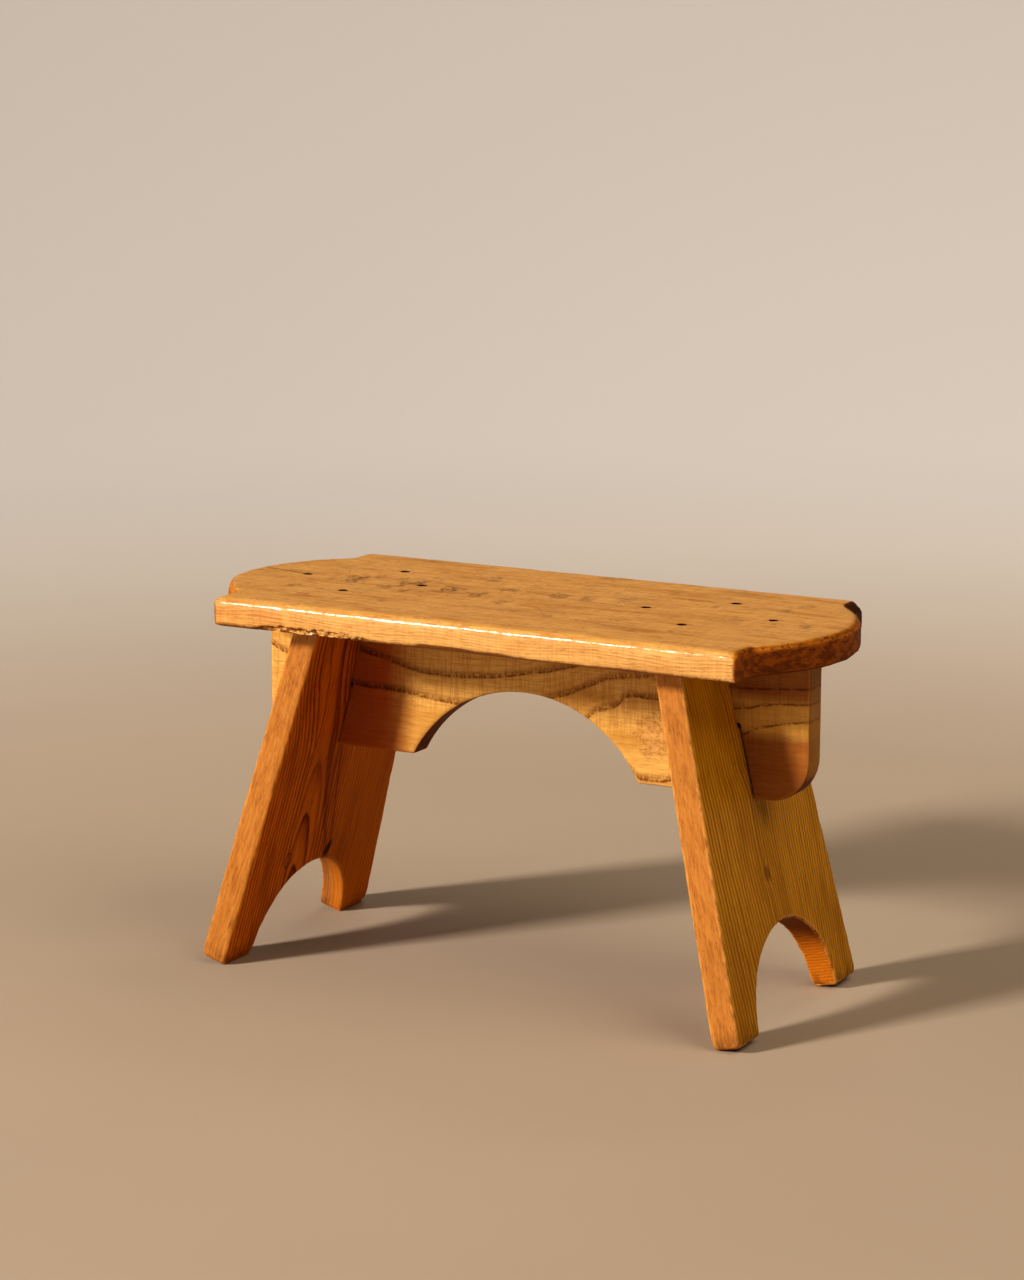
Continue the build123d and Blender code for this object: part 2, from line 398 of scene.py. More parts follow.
def seat_varnish():
    """Honey-coloured board: fine wavy lines on its edges, faint clouds and purple-brown smudges on
    its top, and brown sawn ends."""
    wood = Finish("seat_varnish", Coat_Roughness=0.16, Coat_IOR=1.5, Specular_IOR_Level=0.06)
    place = wood.place((0, 0, 0), (0, 0, -seat_top))
    rings = growth_rings(wood, place, heart=(25, -150), lean=(0.02, 0.012), ring=1.5, wander=13)
    late, fibres, pores, blotches = wood_layers(wood, place, rings, sharp=1.5)
    along, across, into = wood.parts(place)
    facing = wood.parts(wood.node("ShaderNodeTexCoord", output="Normal"))
    top = facing[2].ease(0.80, 0.985)
    edge = wood.node("ShaderNodeAttribute", {"attribute_name": "edge"}, output="Fac")
    stain = wood.node("ShaderNodeAttribute", {"attribute_name": "stain"}, output="Fac")
    ends = abs(facing[0]).ease(0.12, 0.50)
    bottom = seat_underside - seat_top

    # Grain, the planer's chatter and patches that have gone yellower or redder.
    honey, red_honey, top_honey = (0.685, 0.388, 0.135), (0.62, 0.312, 0.092), (0.67, 0.355, 0.112)
    brown, red_brown, top_brown = (0.42, 0.168, 0.030), (0.37, 0.122, 0.018), (0.38, 0.158, 0.033)
    redder = 1 - along.ease(-190, -60)
    pale = wood.blend(top, wood.blend(redder, honey, red_honey), top_honey)
    dark = wood.blend(top, wood.blend(redder, brown, red_brown), top_brown)
    colour = wood.blend(late * (0.85 - 0.57 * top), pale, dark)
    planed = wood.stretched(place, (1.5, 40, 40), detail=1.5)
    colour = wood.blend(0.22 * planed.ease(0.46, 0.62), colour, dark)
    colour = wood.blend(0.40 * blotches.ease(0.45, 0.75), colour, dark)
    colour = wood.blend(0.55 * fibres.ease(0.45, 0.75), colour, dark)
    colour = wood.blend(0.45 * pores * (1 - 0.4 * top), colour, (0.20, 0.060, 0.010))
    figure = wood.stretched(place, (13, 7, 7), detail=2, move=(4.2, 0, 0)).ease(0.5, 0.72)
    colour = wood.blend(0.35 * figure * (1 - top), colour, (0.72, 0.39, 0.10))

    # Clouds, streaks, smudges and dots on the top.
    clouds = wood.stretched(place, (80, 17, 17), detail=5, rough=0.62, move=(2.3, 0.4, 0))
    colour = wood.blend(0.62 * top * clouds.ease(0.50, 0.70), colour, (0.36, 0.135, 0.022))
    strokes = wood.stretched(place, (24, 2.0, 2.0), detail=4, rough=0.7, move=(8.1, 2.2, 0))
    colour = wood.blend(0.32 * top * strokes.ease(0.50, 0.62), colour, (0.34, 0.125, 0.022))
    light = wood.stretched(place, (120, 14, 14), detail=4, rough=0.6, move=(7.3, 2.4, 0))
    colour = wood.blend(0.45 * top * light.ease(0.52, 0.72), colour, (0.58, 0.285, 0.060))
    speck = wood.stretched(place, (3.6, 2.2, 2.2), detail=4, rough=0.75)
    bruise = wood.stretched(place, (22, 9, 9), detail=4, rough=0.65, move=(5.1, 1.7, 0))
    marks = stain * (0.25 + 1.2 * speck.ease(0.44, 0.56)) + 0.30 * top * bruise.ease(0.60, 0.70)
    colour = wood.blend(0.80 * marks, colour, (0.150, 0.052, 0.022))
    dots = wood.stretched(place, (3.0, 3.0, 3.0), detail=2, move=(3.7, 8.8, 0)).ease(0.70, 0.76)
    colour = wood.blend(0.55 * dots * top, colour, (0.16, 0.055, 0.016))

    # Hairline cracks, and three longer ones that run with the grain.
    veins = wood.stretched(place, (48, 9, 9), detail=3, rough=0.6, move=(9.7, 3.2, 0))
    patch = wood.stretched(place, (50, 26, 26), move=(1.7, 6.1, 0))
    vein = ((veins - 0.52) / 0.011).hump() * patch.ease(0.46, 0.54)
    hairs = wood.stretched(place, (26, 20, 20), detail=4, rough=0.6, move=(3.7, 1.2, 0))
    hair = ((hairs - 0.50) / 0.008).hump() * (1 - patch.ease(0.42, 0.50)) * (1 - along.ease(60, 110))
    colour = wood.blend((0.55 * vein + 0.48 * hair) * top, colour, (0.17, 0.060, 0.020))
    shake = 1.4 * (clouds - 0.5) + 0.5 * (speck - 0.5)
    split_side = across - 3.5 + 0.24 * (along + 192) + shake
    split = (split_side / 0.7).hump() * (1 - along.ease(-196, -190)) * top
    second_side = across + 10 - 0.11 * (along + 134) + 2.0 * shake
    second = (second_side / 0.5).hump() * along.ease(-165, -150) * (1 - along.ease(-88, -75)) * top
    third_side = across - 14 + 0.10 * (along + 40) - 3.5 * ((along + 5) / 45).hump() + 2.0 * shake
    third = (third_side / 0.6).hump() * along.ease(-95, -70) * (1 - along.ease(60, 90)) * top
    scratches = 0.9 * split + 0.55 * second + 0.45 * third
    colour = wood.blend(scratches, colour, (0.095, 0.030, 0.010))

    # Iron stain round each nail hole, and a painted highlight on the top beside it.
    halo, rim = 0, 0
    for x, y in nail_spots:
        away = ((along - x - 0.8) ** 2 / 2.6 + (across - y) ** 2) ** 0.5
        halo = (1 - away.ease(hole_radius + 0.1, hole_radius + 2.6)).larger(halo)
        beside = (((along - x - 5.4) / 1.4) ** 2 + ((across - y) / 1.6) ** 2) ** 0.5
        rim = beside.hump().larger(rim)
    # The walls of the holes, for the painted shade inside them.
    in_hole = halo * (1 - facing[2].ease(0.45, 0.85))
    colour = wood.blend(0.45 * halo * top * fibres.ease(0.3, 0.6), colour, (0.26, 0.080, 0.016))
    colour = wood.blend(0.60 * rim * top * speck.ease(0.40, 0.55), colour, (0.78, 0.36, 0.13))

    # Sawn ends: browner, with a rubbed rim and a broken corner. The right end, which stands in
    # shade, is painted darker and redder than the left, darkest at the far right, as painted shade.
    saw = wood.node("ShaderNodeMapping", None, {"Vector": place, "Rotation": (radians(38), 0, 0)})
    saw_lines = wood.stretched(saw, (6, 14, 0.9), detail=2)
    end_lines = wood.stretched(place, (9, 11, 4.0), detail=4, rough=0.65)
    end_brown, end_dark = (0.27, 0.064, 0.002), (0.12, 0.022, 0.001)
    end_colour = wood.blend(end_lines.ease(0.42, 0.58), end_brown, end_dark)
    end_colour = wood.blend(0.30 * saw_lines.ease(0.52, 0.66), end_colour, (0.38, 0.112, 0.006))
    # The left end is lighter and less red than the shaded right end.
    end_colour = wood.blend(0.60 * (1 - along.ease(0, 150)), end_colour, (0.34, 0.125, 0.020))
    # Painted shade: the right end darkest toward the back.
    far_end_shade = across.ease(10, 75) * along.ease(0, 150)
    end_colour = wood.blend(0.85 * far_end_shade, end_colour, (0.060, 0.012, 0.001))
    end_rim = edge.ease(0.15, 0.50) * wood.stretched(place, (3, 3, 2), detail=3).ease(0.34, 0.50)
    end_rim = end_rim * into.ease(-5.5, -3.0) * (1 - 0.7 * across.ease(20, 80))
    end_colour = wood.blend(0.80 * end_rim, end_colour, (0.68, 0.235, 0.008))
    colour = wood.blend(0.96 * ends, colour, end_colour)
    # Painted shade on the broken corner.
    corner = along.ease(201, 205) * across.ease(82, 88) * (1 - into.ease(-2.2, -0.9))
    colour = wood.blend(0.95 * corner, colour, (0.055, 0.017, 0.003))

    # Rubbed and dented edges, painted shade in the hollows, on the underside and inside the nail holes, and
    # the torn edge.
    torn = ((across - seat_front) / 5).hump() * along.ease(*torn_start) * (1 - along.ease(*torn_end))
    torn_low = torn * (1 - into.ease(bottom + 1.5, bottom + 4.5))
    rubbed = edge.ease(0.1, 0.8) * (1 - ends)
    colour = wood.blend(0.70 * rubbed * top.ease(0.0, 0.5), colour, (0.70, 0.340, 0.034))
    dents = wood.stretched(place, (1.9, 1.3, 1.3), detail=2).ease(0.56, 0.66)
    colour = wood.blend(0.70 * rubbed * dents, colour, (0.24, 0.080, 0.008))
    # Painted shade in the hollows.
    hollow_shade = (-edge).ease(0.05, 0.5)
    colour = wood.blend(0.75 * hollow_shade, colour, (0.11, 0.030, 0.005))
    # Painted shade on the faces that look down.
    under = (-facing[2]).ease(0.25, 0.70)
    colour = wood.blend(0.80 * under, colour, (0.14, 0.036, 0.002))
    slivers = wood.stretched(place, (9, 1.4, 1.4), detail=3, rough=0.7).ease(0.46, 0.58)
    colour = wood.blend(0.95 * torn_low * slivers, colour, (0.07, 0.018, 0.003))
    # Painted shade inside the nail holes.
    colour = wood.blend(0.97 * in_hole, colour, (0.012, 0.005, 0.003))

    # The varnish is glossy along the front, thin on top and gone where the edge is torn.
    worn_through = wood.stretched(place, (45, 30, 30), detail=3).ease(0.35, 0.7)
    roughness = 0.40 + 0.20 * top + 0.12 * fibres - 0.1 * rubbed + 0.2 * marks + 0.2 * ends
    patchy = wood.stretched(place, (4, 1.6, 1.6), detail=3, rough=0.7).ease(0.38, 0.60)
    coat = (0.06 + 0.40 * patchy) * (1 - under) * (1 - top * (0.75 + 0.20 * worn_through)) * (1 - in_hole)
    bare = torn * (1 - into.ease(bottom + 5.0, bottom + 9.0))
    coat = coat * (1 - 0.9 * ends) * (1 - 0.95 * bare)
    glints = ends * far_end_shade.ease(0.3, 1.0) * wood.stretched(place, (3, 3, 2), detail=3).ease(0.56, 0.62)
    coat = coat * (1 - 0.6 * corner) * (1 - 0.75 * dents * rubbed) + 0.6 * glints
    grit = wood.stretched(place, (3.5, 2.0, 2.0), detail=4, rough=0.7)
    height = 0.35 * fibres - 0.25 * late - 0.5 * pores - 1.6 * scratches - 0.5 * marks
    height = height + 0.28 * grit - 1.6 * dents * rubbed + 0.25 * planed
    return wood.finish(colour, roughness, height, 0.22, coat)


seat.data.materials.append(seat_varnish())
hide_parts("seat")
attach(seat, "root")


# ------------------------------------------------------------------------------------------------
# Leg boards
# Two softwood boards on end, splayed and wider at the floor, with an arch sawn between the feet.
# Slots let them over the rail, and nails through the seat hold them. Their edges are rubbed
# orange, and their feet are worn round where they drag.

leg_spacing = 264.0                                   # between the inner faces, under the seat
leg_thickness = 21.0
leg_splays = {-1: radians(15.9), 1: radians(13.0)}    # the left leg is -1, the right leg 1
leg_slope = 0.97          # how far a leg goes down for each millimetre of its length
slot_width, slot_depth = 21.0, 59.5
rail_middle = 3.0         # the rail and its slots stand a little behind the seat's middle line
floor_contact = 0.7       # how much of each foot is flattened on the floor


def leg_wear(side):
    """The wear of one leg: side is -1 for the left and 1 for the right."""
    def wear(point, edge, out):
        x, y, z = point
        down = (seat_underside - z) / leg_slope
        slot = hypot(max(0, abs(y - rail_middle) - slot_width / 2), max(0, down - slot_depth))
        free = (1 - ease(z, seat_underside - 6, seat_underside - 1)) * ease(slot, 1.5, 6)
        share = clamp(0.52 - 0.12 * side + 0.8 * waves(point, 24, 20 + side) + 0.25 * waves(point, 7, 22))
        low = 1 - ease(z, 6, 34)
        share = clamp(share + 0.35 * low) * free
        dent = 0.45 * ease(waves(point, 9, 24 + side), 0.35, 0.75) + 0.22 * (1 + waves(point, 40, 26)) * 0.5
        scraped = 0.9 * low * ease(waves(point, 10, 28 + side), 0.0, 0.8)
        dent += scraped + 0.5 * (1 - ease(z, 0, 7)) * clamp(edge)
        move = -dent * ease(edge, 0.05, 0.5) * free * out
        # A knock on the left leg's front foot, and all the feet trodden round.
        depth = -(x + leg_spacing / 2) * cos(leg_splays[-1]) - (seat_underside - z) * sin(leg_splays[-1])
        knock = exp(-((z - 31) / 5) ** 2 - ((y + 98) / 5) ** 2 - (depth / 4) ** 2) if side < 0 else 0
        move += Vector((0, 1.9, 0)) * knock * (0.7 + waves(point, 4, 30))
        trodden = 1.5 * clamp(1 - z / 13) ** 2 * (1 + 0.5 * waves(point, 12, 33))
        move -= Vector((out.x, out.y, 0)) * trodden
        return share, move, knock
    return wear


def leg_board(node, side):
    """One leg board with worn edges, standing on the floor."""
    turn = side * leg_splays[side]
    pivot = (side * leg_spacing / 2 * MM, 0, seat_underside * MM)
    leg = worn_board(*smoothed_board(node, cell=1.3, rounds=6, turn=turn, pivot=pivot), leg_wear(side))
    for vert in leg.data.vertices:
        if vert.co.z < floor_contact * MM:
            vert.co.z = 0
    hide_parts(node)
    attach(leg, "root")
    return leg


def leg_axes(side):
    """The directions down a leg board and out through it."""
    angle = leg_splays[side]
    return Vector((side * sin(angle), 0, -cos(angle))), Vector((side * cos(angle), 0, sin(angle)))


def leg_place(wood, side):
    """The place on a leg board: down along it from the seat, across it, and out through it."""
    down, out = leg_axes(side)
    inner = Vector((side * leg_spacing / 2, 0, seat_underside))
    where = wood.node("ShaderNodeTexCoord", output="Object")
    return [wood.dot(where, axis / MM) - inner.dot(axis) for axis in (down, Vector((0, 1, 0)), out)]


def end_grain(wood, axis):
    """1 where the surface cuts across the grain, which runs along axis."""
    return abs(wood.dot(wood.node("ShaderNodeTexCoord", output="Normal"), axis)).ease(0.45, 0.85)


def leg_varnish(wood, side, place, rings, sharp, lines):
    """Board with latewood lines along it, orange on its narrow sides. The faces that stand in shade,
    the left leg's inner face and the right leg's outer face, are painted in shaded copies of the
    wood's colour, low in blue: red-orange on the left, yellower on the right."""
    along, across, into = place
    down, out = leg_axes(side)
    spot = wood.node("ShaderNodeCombineXYZ", None, dict(enumerate(place)))
    late, fibres, pores, blotches = wood_layers(wood, spot, rings, sharp=sharp, even=0.70 + 0.10 * side)
    edge = wood.node("ShaderNodeAttribute", {"attribute_name": "edge"}, output="Fac")
    stain = wood.node("ShaderNodeAttribute", {"attribute_name": "stain"}, output="Fac")
    ends = end_grain(wood, down)
    facing = wood.node("ShaderNodeTexCoord", output="Normal")
    broad = abs(wood.dot(facing, out)).ease(0.72, 0.96)
    outer = into.ease(6, 15)

    # The pale and dark wood of the inner face, the outer face and the narrow sides. The left leg's
    # inner face and the right leg's outer face get shaded copies of it, as painted shade.
    inner_pale, outer_pale, side_pale = (0.74, 0.200, 0.0030), (0.53, 0.220, 0.040), (0.42, 0.160, 0.033)
    inner_dark, outer_dark, side_dark = (0.150, 0.014, 0.0004), (0.28, 0.090, 0.009), (0.25, 0.076, 0.010)
    if side > 0:
        inner_pale, outer_pale, side_pale = (0.50, 0.195, 0.034), (0.68, 0.330, 0.026), (0.47, 0.185, 0.040)
        inner_dark, outer_dark = (0.25, 0.076, 0.007), (0.25, 0.086, 0.003)
    pale = wood.blend(outer, inner_pale, outer_pale)
    dark = wood.blend(outer, inner_dark, outer_dark)
    deep = wood.blend(outer, (0.06, 0.009, 0.0006), (0.16, 0.045, 0.003))
    if side > 0:
        # Painted light: the right leg's outer face is lightened near the seat, where the seat shades it.
        painted_light_near_seat = outer * (1 - along.ease(30, 110))
        pale = wood.blend(painted_light_near_seat, pale, (0.98, 0.490, 0.014))
        dark = wood.blend(painted_light_near_seat, dark, (0.50, 0.180, 0.003))
        # Darker low down toward the front of the right leg's outer face.
        lower = outer * along.ease(150, 220) * (1 - across.ease(-20, 30))
        pale = wood.blend(0.5 * lower, pale, (0.50, 0.235, 0.022))
    pale = wood.blend(broad, side_pale, pale)
    dark = wood.blend(broad, side_dark, dark)

    # Grain, blotches and the streaks on the narrow sides.
    colour = wood.blend(lines * late * (0.30 + 0.70 * broad), pale, dark)
    colour = wood.blend(0.50 * fibres.ease(0.42, 0.72), colour, dark)
    colour = wood.blend((0.15 + 0.25 * broad) * blotches.ease(0.45, 0.72), colour, dark)
    colour = wood.blend(0.50 * pores, colour, deep)
    streak = wood.stretched(spot, (70, 1.5, 1.5), detail=3, rough=0.6, move=(3.1, 0.7, 0)).ease(0.46, 0.62)
    colour = wood.blend(0.50 * streak * (1 - broad), colour, (0.54, 0.225, 0.042))

    # Inside the arch the saw left rough lines, and the top of the arch is painted dark as shade.
    arch = (1 - broad) * ((across - rail_middle) / 68).hump() * along.ease(150, 200)
    bend = wood.stretched(spot, (7, 7, 9), detail=3, rough=0.6)
    if side > 0:
        saw = (along + 3 * bend) * 2.7
        saw = 0.5 + 0.5 * saw.math("SINE", saw)
        arch_wood = wood.blend(0.60 * saw, (0.58, 0.180, 0.009), (0.30, 0.066, 0.003))
        # Painted shade at the top of the arch.
        arch_wood = wood.blend(0.96 * (1 - along.ease(210, 238)), arch_wood, (0.08, 0.008, 0.0005))
    else:
        saw = wood.stretched(spot, (40, 40, 0.9), detail=3, rough=0.6).ease(0.42, 0.62)
        arch_wood = wood.blend(0.85 * saw, (0.38, 0.150, 0.040), (0.22, 0.062, 0.010))
        # Painted shade at the top of the arch.
        arch_wood = wood.blend(0.85 * (1 - along.ease(200, 226)), arch_wood, (0.16, 0.030, 0.001))
    colour = wood.blend(0.90 * arch.ease(0.10, 0.35), colour, arch_wood)

    # Scuffed edges, grimy feet, painted shade in the hollows, and dirt in the knock.
    colour = wood.blend(0.5 * ends, colour, dark)
    rubbed = edge.ease(0.08, 0.5)
    chips = wood.stretched(spot, (9, 4, 4), detail=3, rough=0.7).ease(0.36, 0.56)
    scuffed = (0.80, 0.380, 0.090) if side > 0 else (0.66, 0.235, 0.026)
    colour = wood.blend(0.62 * rubbed * chips, colour, scuffed)
    foot = seat_underside / cos(leg_splays[side])
    low = along.ease(foot - 16, foot - 2)
    grime = low * wood.stretched(spot, (9, 5, 5), detail=3).ease(0.35, 0.65)
    colour = wood.blend(0.50 * grime, colour, (0.13, 0.045, 0.012))
    # Painted shade in the hollows; the stain is the dirt in the knock.
    hollow_shade = (-edge).ease(0.05, 0.5)
    colour = wood.blend(0.7 * hollow_shade + 0.6 * stain, colour, (0.10, 0.026, 0.004))

    roughness = 0.42 + 0.12 * fibres - 0.08 * late + 0.2 * grime
    coat = 0.25 * rubbed + (0.01 + 0.14 * (1 - broad) * (1 - blotches)) * (1 - arch.ease(0.10, 0.35))
    height = 0.4 * fibres - 0.5 * late - 0.5 * pores - 0.35 * saw * arch
    return colour, roughness, height, coat


def left_leg_varnish():
    """Board with a nest of pointed growth lines, apexes upwards, beside the arch; its inner face is painted
    red-orange as shade.
    """
    wood = Finish("leg_left_varnish", Coat_Roughness=0.18, Coat_IOR=1.5, Specular_IOR_Level=0.03)
    place = leg_place(wood, -1)
    along, across, into = place
    spot = wood.node("ShaderNodeCombineXYZ", None, dict(enumerate(place)))
    sway = wood.parts(wood.stretched(spot, (95, 26, 26), detail=2, output=1))
    ripple = wood.stretched(spot, (24, 7, 7), detail=2.5, rough=0.6)

    # The growth lines nest round a heart near the front edge, and point upwards.
    heart = -49 + 20 * along.ease(20, 110)
    aside = across - heart + 4 * (sway[0] - 0.5) + 2.0 * (ripple - 0.5)
    right = aside.larger(0.0)
    left = right - aside
    spread = left + right * (0.55 + 0.30 * right.ease(12, 60))
    below = along - 112
    depth = 17.2 - 0.084 * below.larger(0.0) + 1.2 * (sway[1] - 0.5) + 0.5 * into
    rings = (spread * spread + depth * depth) ** 0.5 / 3.7 + 0.36
    colour, roughness, height, coat = leg_varnish(wood, -1, place, rings, sharp=3.0, lines=1.25)
    # Paler toward the back and lower down on the inner face, in the same painted shade colour.
    far = across.ease(8, 34) * along.ease(60, 100) * (1 - into.ease(6, 15))
    colour = wood.blend(0.45 * far, colour, (0.66, 0.190, 0.0030))

    # Three dark lines down the board, then a knot and a curl beside the arch.
    soaked = wood.stretched(spot, (34, 1.3, 1.3), detail=3, rough=0.65, move=(6.6, 2.9, 0)).ease(0.34, 0.58)
    bold_lines = (
        (2.4, ((0, -36), (24, -30.6), (52, -27), (84, -19), (109, -15.5), (172, 3), (204, 15), (270, 22))),
        (1.1, ((0, -15), (25, -12.8), (56, -8.3), (87, -3.8), (204, 20), (270, 26))),
        (0.9, ((0, -52), (20, -49), (60, -39.5), (90, -37), (117, -43), (152, -42.6), (194, -39),
               (270, -36))))
    for width, spots in bold_lines:
        beside = across - wood.curve(along, spots) + 1.2 * (ripple - 0.5)
        colour = wood.blend(0.80 * (beside / width).hump() * soaked, colour, (0.115, 0.008, 0.0003))
    knot = (((along - 199) / 7) ** 2 + ((across - 18 + 0.5 * (along - 199)) / 4.8) ** 2) ** 0.5
    knot = 1 - (knot + 0.8 * (ripple - 0.5)).ease(0.5, 1.25)
    colour = wood.blend(0.92 * knot, colour, (0.030, 0.008, 0.002))
    squiggle = ((along - 195) ** 2 / 1.7 + (across + 39) ** 2) ** 0.5 + 7 * (ripple - 0.5)
    squiggle = ((squiggle - 4) / 0.8).hump() * (1 - into.ease(4, 12))
    colour = wood.blend(0.7 * squiggle, colour, (0.09, 0.018, 0.002))
    return wood.finish(colour, roughness, height - 1.2 * knot, 0.2, coat)


def right_leg_varnish():
    """Board with fine, nearly straight lines and two darker ones by a small eye; its outer face is painted
    a yellower shaded copy of the wood's colour, as painted shade.
    """
    wood = Finish("leg_right_varnish", Coat_Roughness=0.18, Coat_IOR=1.5, Specular_IOR_Level=0.03)
    place = leg_place(wood, 1)
    along, across, into = place
    spot = wood.node("ShaderNodeCombineXYZ", None, dict(enumerate(place)))
    sway = wood.parts(wood.stretched(spot, (130, 40, 40), detail=1.5, output=1))
    ripple = wood.stretched(spot, (26, 7, 7), detail=2.5, rough=0.6)

    # The lines follow one bold line near its place, and run straight away from it.
    bold = wood.curve(along, ((0, -26), (23, -23), (44, -18.7), (83, -16), (108, -9.5), (144, -9.2),
                              (164, -7.3), (193, -4.2), (260, 0)))
    aside = across + 14 - (bold + 14) * ((across + 14) / 45).hump()
    aside = aside + 6 * (sway[0] - 0.5) + 1.4 * (ripple - 0.5)
    eye = (((along - 163) / 9) ** 2 + (aside / 5) ** 2).hump()
    rings = aside * (1 + 0.0006 * along) / 4.3 + 1.8 * (sway[1] - 0.5) + 0.06 * into + 0.9 * eye + 30
    colour, roughness, height, coat = leg_varnish(wood, 1, place, rings, sharp=1.5, lines=1.05)
    line = ((aside + 0.5) / 0.9).hump() + 0.6 * ((aside + 8.5) / 0.8).hump()
    colour = wood.blend(0.45 * line, colour, (0.17, 0.052, 0.004))
    colour = wood.blend(0.5 * (eye * eye * eye), colour, (0.12, 0.034, 0.003))
    return wood.finish(colour, roughness, height, 0.2, coat)


leg_left = leg_board("leg_left", -1)
leg_left.data.materials.append(left_leg_varnish())
leg_right = leg_board("leg_right", 1)
leg_right.data.materials.append(right_leg_varnish())


# ------------------------------------------------------------------------------------------------
# Rail
# A board on edge under the seat, let into slots in both legs, with a round arch sawn out of it
# and rounded lower ends. It was sawn near the bark, so its dark growth lines are broad and far
# apart. Past the right leg its front is painted browner as shade, with a band of painted light,
# and beside the left leg it is painted dark red as the leg's shadow.


def rail_wear(point, edge, out):
    """Lightly rubbed edges, left crisp where the rail is let into the legs, and the left leg's
    shadow painted on its front at the left."""
    x, y, z = point
    free = 1 - ease(z, seat_underside - 4, seat_underside - 1)
    for side, splay in leg_splays.items():
        depth = side * (x - side * leg_spacing / 2) * cos(splay) - (seat_underside - z) * sin(splay)
        free *= ease(abs(depth - leg_thickness / 2), leg_thickness / 2 + 2, leg_thickness / 2 + 6)
    share = clamp(0.55 + 0.8 * waves(point, 22, 40)) * free
    dent = 0.35 * ease(waves(point, 10, 42), 0.3, 0.75) + 0.12 * (1 + waves(point, 45, 44))
    # Painted shadow of the left leg, on the front beside it.
    stain = ease(x, -175, -160) * (1 - ease(x, -122, -90)) * (0.94 + 0.05 * waves(point, 14, 47))
    return share, -dent * ease(edge, 0.05, 0.5) * free * out, clamp(stain) * (1 - ease(y, 0, 8))


